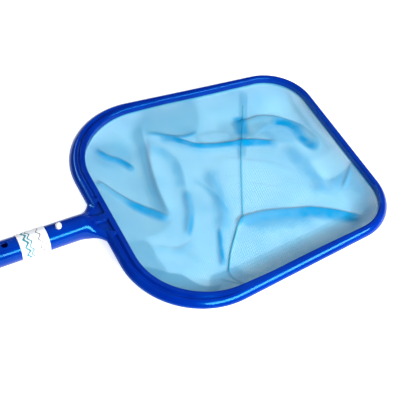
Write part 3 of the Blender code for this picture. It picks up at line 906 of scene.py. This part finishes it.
def reach(direction):
    """Distance from the middle to the cloth's border, just inside the rim's inner edge."""
    low, high = 0.0, HEAD_LENGTH
    for _ in range(26):
        half = (low + high) / 2
        point = MIDDLE + direction * half
        inset, out = edge(*point)
        inside = inset - inner_edge(point.x + out.x * inset) > CLEAR
        low, high = (half, high) if inside else (low, half)
    return low


def painted(bm, cloth):
    """Gives the vertices the cloth's ply and painted shade, for the fabric to read."""
    layers = {name: bm.verts.layers.float.new(name) for name in ("ply", "painted_shade_and_seam")}
    for i, vert in enumerate(bm.verts):
        for name, layer in layers.items():
            vert[layer] = min(max(cloth[name][i], 0), 1)


def bag_mesh():
    bm = bmesh.new()
    bmesh.ops.create_grid(bm, x_segments=CELLS_X, y_segments=CELLS_Y, size=1.0)
    known = {}
    for vert in bm.verts:
        size = max(abs(vert.co.x), abs(vert.co.y))
        if size > 0:
            direction = Vector((vert.co.x * 152, vert.co.y * 140)).normalized()
            key = (round(direction.x, 6), round(direction.y, 6))
            if key not in known:
                known[key] = reach(direction)
            vert.co.xy = MIDDLE + direction * known[key] * size
        else:
            vert.co.xy = MIDDLE
    cloth = shaped(np.array([vert.co.xy for vert in bm.verts]))
    painted(bm, cloth)
    flat = bm.verts.layers.float_vector.new("flat")
    for vert, height in zip(bm.verts, cloth["height"]):
        vert.co.z = height
        vert[flat] = (vert.co.x, vert.co.y, 0)
    border = [e for e in bm.edges if e.is_boundary]
    border = drawn_out(bm, border, flat, 0)
    drawn_out(bm, border, flat, CLAMPED_WIDTH)
    uv = bm.loops.layers.uv.new("cloth")
    for face in bm.faces:
        for loop in face.loops:
            loop[uv].uv = loop.vert[flat].xy
    bmesh.ops.recalc_face_normals(bm, faces=bm.faces)
    return bm


def drawn_out(bm, border, flat, outward):
    """Extrudes the cloth's border up to the clamp and outwards, with its place on the flat cloth."""
    made = bmesh.ops.extrude_edge_only(bm, edges=border)["geom"]
    verts = set(only(bmesh.types.BMVert, made))
    for vert in verts:
        inset, out = edge(vert.co.x, vert.co.y)
        shift = out * min(outward, max(inset - RING_INSET - 0.5 * MM, 0))
        step = shift.length + abs(CLAMPED_Z - vert.co.z)
        vert.co.z = CLAMPED_Z
        vert.co.xy += shift
        vert[flat] += Vector((out.x, out.y, 0)) * step
    return [e for e in only(bmesh.types.BMEdge, made) if set(e.verts) <= verts]


net = object_of(bag_mesh(), "net_cloth")
finished(net, NET, "head", "net_bag", sharp=180)
spans = [max(c) - min(c) for c in zip(*[v.co.xy for v in net.data.vertices])]

# %% [markdown]
# ## Seam
#
# The bag is closed by one seam that runs askew across its floor, covered with a narrow tape. The
# tape is a strip of grid laid along the seam's line. It takes its height, its doubled cloth and its
# painted shade from the cloth below it, and its middle bulges a little.
#
# %% The seam tape
SEAM_WIDTH = 1.8 * MM
SEAM_LIFT = 0.08 * MM
SEAM_CROWN = 0.05 * MM
SEAM_T = 0.05 * MM


def seam_tape():
    path = smooth_line(SEAM_LINE[1:-2])
    heading = np.gradient(path, axis=0)
    heading /= np.hypot(*heading.T)[:, None]
    sideways = np.stack([-heading[:, 1], heading[:, 0]], axis=1)
    bm = bmesh.new()
    bmesh.ops.create_grid(bm, x_segments=len(path) - 1, y_segments=4, size=0.5)
    places, crowns = [], []
    for vert in bm.verts:
        i = round((vert.co.x + 0.5) * (len(path) - 1))
        places.append(path[i] + sideways[i] * vert.co.y * SEAM_WIDTH)
        crowns.append(SEAM_CROWN * (1 - (2 * vert.co.y) ** 2))
    cloth = shaped(np.array(places))
    for vert, place, height, crown in zip(bm.verts, places, cloth["height"], crowns):
        vert.co = (*place, height + SEAM_LIFT + crown)
    painted(bm, cloth)
    bmesh.ops.recalc_face_normals(bm, faces=bm.faces)
    return bm


SEAM_CLOTH = net_fabric("seam_tape", (0.12, 0.50, 0.70, 1), 0.3)
seam = object_of(seam_tape(), "seam_tape")
finished(seam, SEAM_CLOTH, "head", "bottom_seam", sharp=180)
thick = seam.modifiers.new("thickness", "SOLIDIFY")
thick.thickness = SEAM_T


# %% [markdown]
# ## Nylon clip
#
# One springy strip sits in the handle: a bend at the back and two legs, each with a button that
# stands out through the handle. A leg turns about the end of the bend, so leg and button ride on
# their own body. White nylon is slightly translucent, which the subsurface weight gives.
#
# %% White nylon
def white_nylon():
    settings = {"IOR": 1.5, "Subsurface Weight": 0.15, "Subsurface Scale": 1.0 * MM}
    material, shader = start_material("white_nylon", settings)
    place = place_of(material)
    speck = place.noise(place, 900.0)
    colour = speck.between(0.3, 0.8).blend((0.86, 0.88, 0.91, 1), (0.80, 0.83, 0.88, 1))
    grain = {"Strength": 0.1, "Distance": 0.1 * MM, "Height": speck}
    feed(shader, Base_Color=colour, Roughness=0.32 + 0.1 * speck, Normal=place.add("Bump", {}, grain))
    return material


NYLON = white_nylon()

# %% Legs, buttons and bend
BUTTON_R = 3.45 * MM
BUTTON_RISE = FRAME_LOW.z - PLAIN_BOX[0].z
LEG_T = 1.4 * MM
LEG_WIDTH = 9.0 * MM
LEG_LENGTH = 52 * MM
BEND_DEPTH = 10 * MM
PIVOT_X = BUTTON_X - 45.2 * MM
LEG_Z = math.sqrt(BORE_R**2 - (LEG_WIDTH / 2) ** 2) - GAP - LEG_T / 2


def leg(side):
    bm = bmesh.new()
    bmesh.ops.create_cube(bm, size=1.0)
    bmesh.ops.scale(bm, vec=(LEG_LENGTH - GAP / 2, LEG_WIDTH, LEG_T), verts=bm.verts)
    middle = (PIVOT_X + (LEG_LENGTH + GAP / 2) / 2, 0, side * LEG_Z)
    bmesh.ops.translate(bm, vec=middle, verts=bm.verts)
    bmesh.ops.bevel(
        bm, geom=bm.edges, offset=0.35 * MM, segments=3, profile=0.5, affect="EDGES", material=-1
    )
    return bm


def button(side):
    """A round button: its outline is drawn once and spun round its own axis."""
    bm = bmesh.new()
    peak = HANDLE_R + BUTTON_RISE
    dome = 0.95 * BUTTON_R
    outline = [(0, LEG_Z), (BUTTON_R, LEG_Z)]
    outline += [(BUTTON_R * math.cos(t), peak - dome + dome * math.sin(t)) for t in turns(0, 90, 10)]
    verts = [bm.verts.new((BUTTON_X + wide, 0, side * high)) for wide, high in outline]
    edges = [bm.edges.new(pair) for pair in zip(verts, verts[1:])]
    bmesh.ops.spin(
        bm, geom=verts + edges, cent=(BUTTON_X, 0, 0), axis=TURNING, angle=2 * math.pi, steps=40,
        use_merge=True,
    )
    bmesh.ops.remove_doubles(bm, verts=bm.verts, dist=0.01 * MM)
    bmesh.ops.recalc_face_normals(bm, faces=bm.faces)
    return bm


for side, name in ((1, "upper"), (-1, "lower")):
    arm = object_of(leg(side), "clip_arm_" + name)
    combined(arm, object_of(button(side), "button"), "UNION")
    finished(arm, NYLON, "clip_" + name, "clip_leg_" + name)


def bend():
    bm = bmesh.new()
    bmesh.ops.create_circle(bm, segments=64, radius=1.0)
    bmesh.ops.rotate(bm, matrix=Matrix.Rotation(math.pi / 2, 3, "X"), verts=bm.verts)
    right = [v for v in bm.verts if v.co.x > 0.001]
    bmesh.ops.delete(bm, geom=right, context="VERTS")
    bmesh.ops.scale(bm, vec=(BEND_DEPTH, 1, LEG_Z), verts=bm.verts)
    bmesh.ops.translate(bm, vec=(PIVOT_X - GAP / 2, -LEG_WIDTH / 2, 0), verts=bm.verts)
    extruded(bm, bm.edges[:], (0, LEG_WIDTH / 4, 0), 4)
    bmesh.ops.recalc_face_normals(bm, faces=bm.faces)
    bmesh.ops.solidify(bm, geom=bm.faces[:], thickness=LEG_T)
    bmesh.ops.recalc_face_normals(bm, faces=bm.faces)
    return bm


finished(object_of(bend(), "clip_spring_bend"), NYLON, "head", "clip_bend")


# %% [markdown]
# ## Label
#
# A paper label is wrapped most of the way round the handle, between its two pairs of holes. It
# carries a plain pattern of our own: waves that run round the handle, drawn by comparing each
# point's place along the handle with a sine of its place round it.
#
# %% Label paper
WAVE_HEIGHT = 1.6 * MM
WAVE_LENGTH = 9 * MM


def label_paper():
    material, shader = start_material("label_paper", {"Coat Weight": 0.3, "Coat Roughness": 0.2})
    place = place_of(material)
    split = place.add("SeparateXYZ", {}, {0: place})
    nodes = split.socket.node.outputs
    along = Field(place.tree, nodes["X"]) - (EDGE_X + LABEL_X)
    across = Field(place.tree, nodes["Y"])
    up = Field(place.tree, nodes["Z"]) - AXIS_Z
    round_it = HANDLE_R * place.math("ARCTAN2", across, up)
    wave = WAVE_HEIGHT * place.math("SINE", round_it * (2 * math.pi / WAVE_LENGTH))
    ink = 0.0
    for offset, half in ((-8.5, 1.3), (-4.2, 0.8)):
        away = place.math("ABSOLUTE", along - wave - offset * MM)
        ink = (1 - away.between(half * MM - 0.15 * MM, half * MM + 0.15 * MM)) + ink
    fine = place.noise(place, 1400.0, 3.0)
    paper = fine.between(0.3, 0.7).blend((0.80, 0.83, 0.86, 1), (0.88, 0.90, 0.92, 1))
    line = place.math("ABSOLUTE", along + wave - 7 * MM)
    marked = ink.between(0.2, 0.8).blend(paper, (0.01, 0.24, 0.32, 1))
    colour = line.between(0.4 * MM, 0.7 * MM).blend((0.03, 0.04, 0.06, 1), marked)
    grain = {"Strength": 0.12, "Distance": 0.05 * MM, "Height": fine}
    feed(shader, Base_Color=colour, Roughness=0.42 + 0.1 * fine, Normal=place.add("Bump", {}, grain))
    return material


# %% Label wrap
LABEL_LENGTH = 32.5 * MM
LABEL_X = BUTTON_X - HOLE_PITCH / 2
LABEL_WRAP = math.radians(280)


def label_wrap():
    bm = bmesh.new()
    inner, outer = HANDLE_R + GAP, HANDLE_R + 2 * GAP
    section = rounded_box((-LABEL_LENGTH / 2, inner), (LABEL_LENGTH / 2, outer), 0.1 * MM)
    verts = [bm.verts.new((LABEL_X + along, 0, high)) for along, high, _ in section]
    edges = [bm.edges.new(pair) for pair in zip(verts, verts[1:] + verts[:1])]
    turn = Matrix.Rotation(-LABEL_WRAP / 2, 3, "X")
    bmesh.ops.rotate(bm, matrix=turn, verts=verts)
    start = edges[:]
    end = bmesh.ops.spin(
        bm, geom=verts + edges, cent=(0, 0, 0), axis=(1, 0, 0), angle=LABEL_WRAP, steps=90
    )["geom_last"]
    bmesh.ops.contextual_create(bm, geom=start)
    bmesh.ops.contextual_create(bm, geom=only(bmesh.types.BMEdge, end))
    bmesh.ops.recalc_face_normals(bm, faces=bm.faces)
    return bm


finished(object_of(label_wrap(), "label_wrap"), label_paper(), "head", "label")


# %% [markdown]
# ## Studio
#
# The net lies on a plain white floor that also glows a little, so that shadows stay soft. A long
# low softbox in front models the folds, a narrow one behind draws the line of light along the
# rim, and a wide weak one overhead fills in.
#
# %% Floor, lights and camera
def studio_floor():
    bm = bmesh.new()
    bmesh.ops.create_grid(bm, x_segments=1, y_segments=1, size=4.0)
    mesh = bpy.data.meshes.new("studio_floor")
    bm.to_mesh(mesh)
    bm.free()
    floor = bpy.data.objects.new("studio_floor", mesh)
    bpy.context.scene.collection.objects.link(floor)
    settings = {"Base Color": (0.85, 0.85, 0.85, 1), "Roughness": 0.9, "Specular IOR Level": 0.0}
    settings |= {"Emission Color": (1, 1, 1, 1), "Emission Strength": 0.75}
    mesh.materials.append(start_material("pale_floor", settings)[0])


def softbox(name, place, aim, size, power):
    data = bpy.data.lights.new(name, "AREA")
    data.shape = "RECTANGLE"
    data.size, data.size_y = size
    data.energy = power
    lamp = bpy.data.objects.new(name, data)
    lamp.location = place
    lamp.rotation_euler = (Vector(place) - Vector(aim)).to_track_quat("Z", "Y").to_euler()
    bpy.context.scene.collection.objects.link(lamp)


studio_floor()
softbox("front", (0.45, -1.24, 0.92), (0.10, 0.0, 0.02), (1.6, 0.42), 48.0)
softbox("back", (-0.55, 1.30, 0.95), (0.10, 0.0, 0.02), (1.2, 0.16), 9.0)
softbox("overhead", (0.1, 0.3, 1.7), (0.0, 0.0, 0.02), (2.4, 2.0), 5.0)

world = bpy.data.worlds.new("studio")
world.use_nodes = True
world.node_tree.nodes["Background"].inputs["Color"].default_value = (0.8, 0.88, 1.0, 1)
world.node_tree.nodes["Background"].inputs["Strength"].default_value = 0.10
bpy.context.scene.world = world
bpy.context.scene.view_settings.view_transform = "Standard"

camera_data = bpy.data.cameras.new("camera")
camera_data.lens = 85.5
camera_data.sensor_width = 36.0
camera = bpy.data.objects.new("camera", camera_data)
camera.location = (-0.3592, -0.6017, 0.8680)
camera.rotation_euler = [math.radians(turn) for turn in (39.192, -5.020, -27.245)]
bpy.context.scene.collection.objects.link(camera)
bpy.context.scene.camera = camera
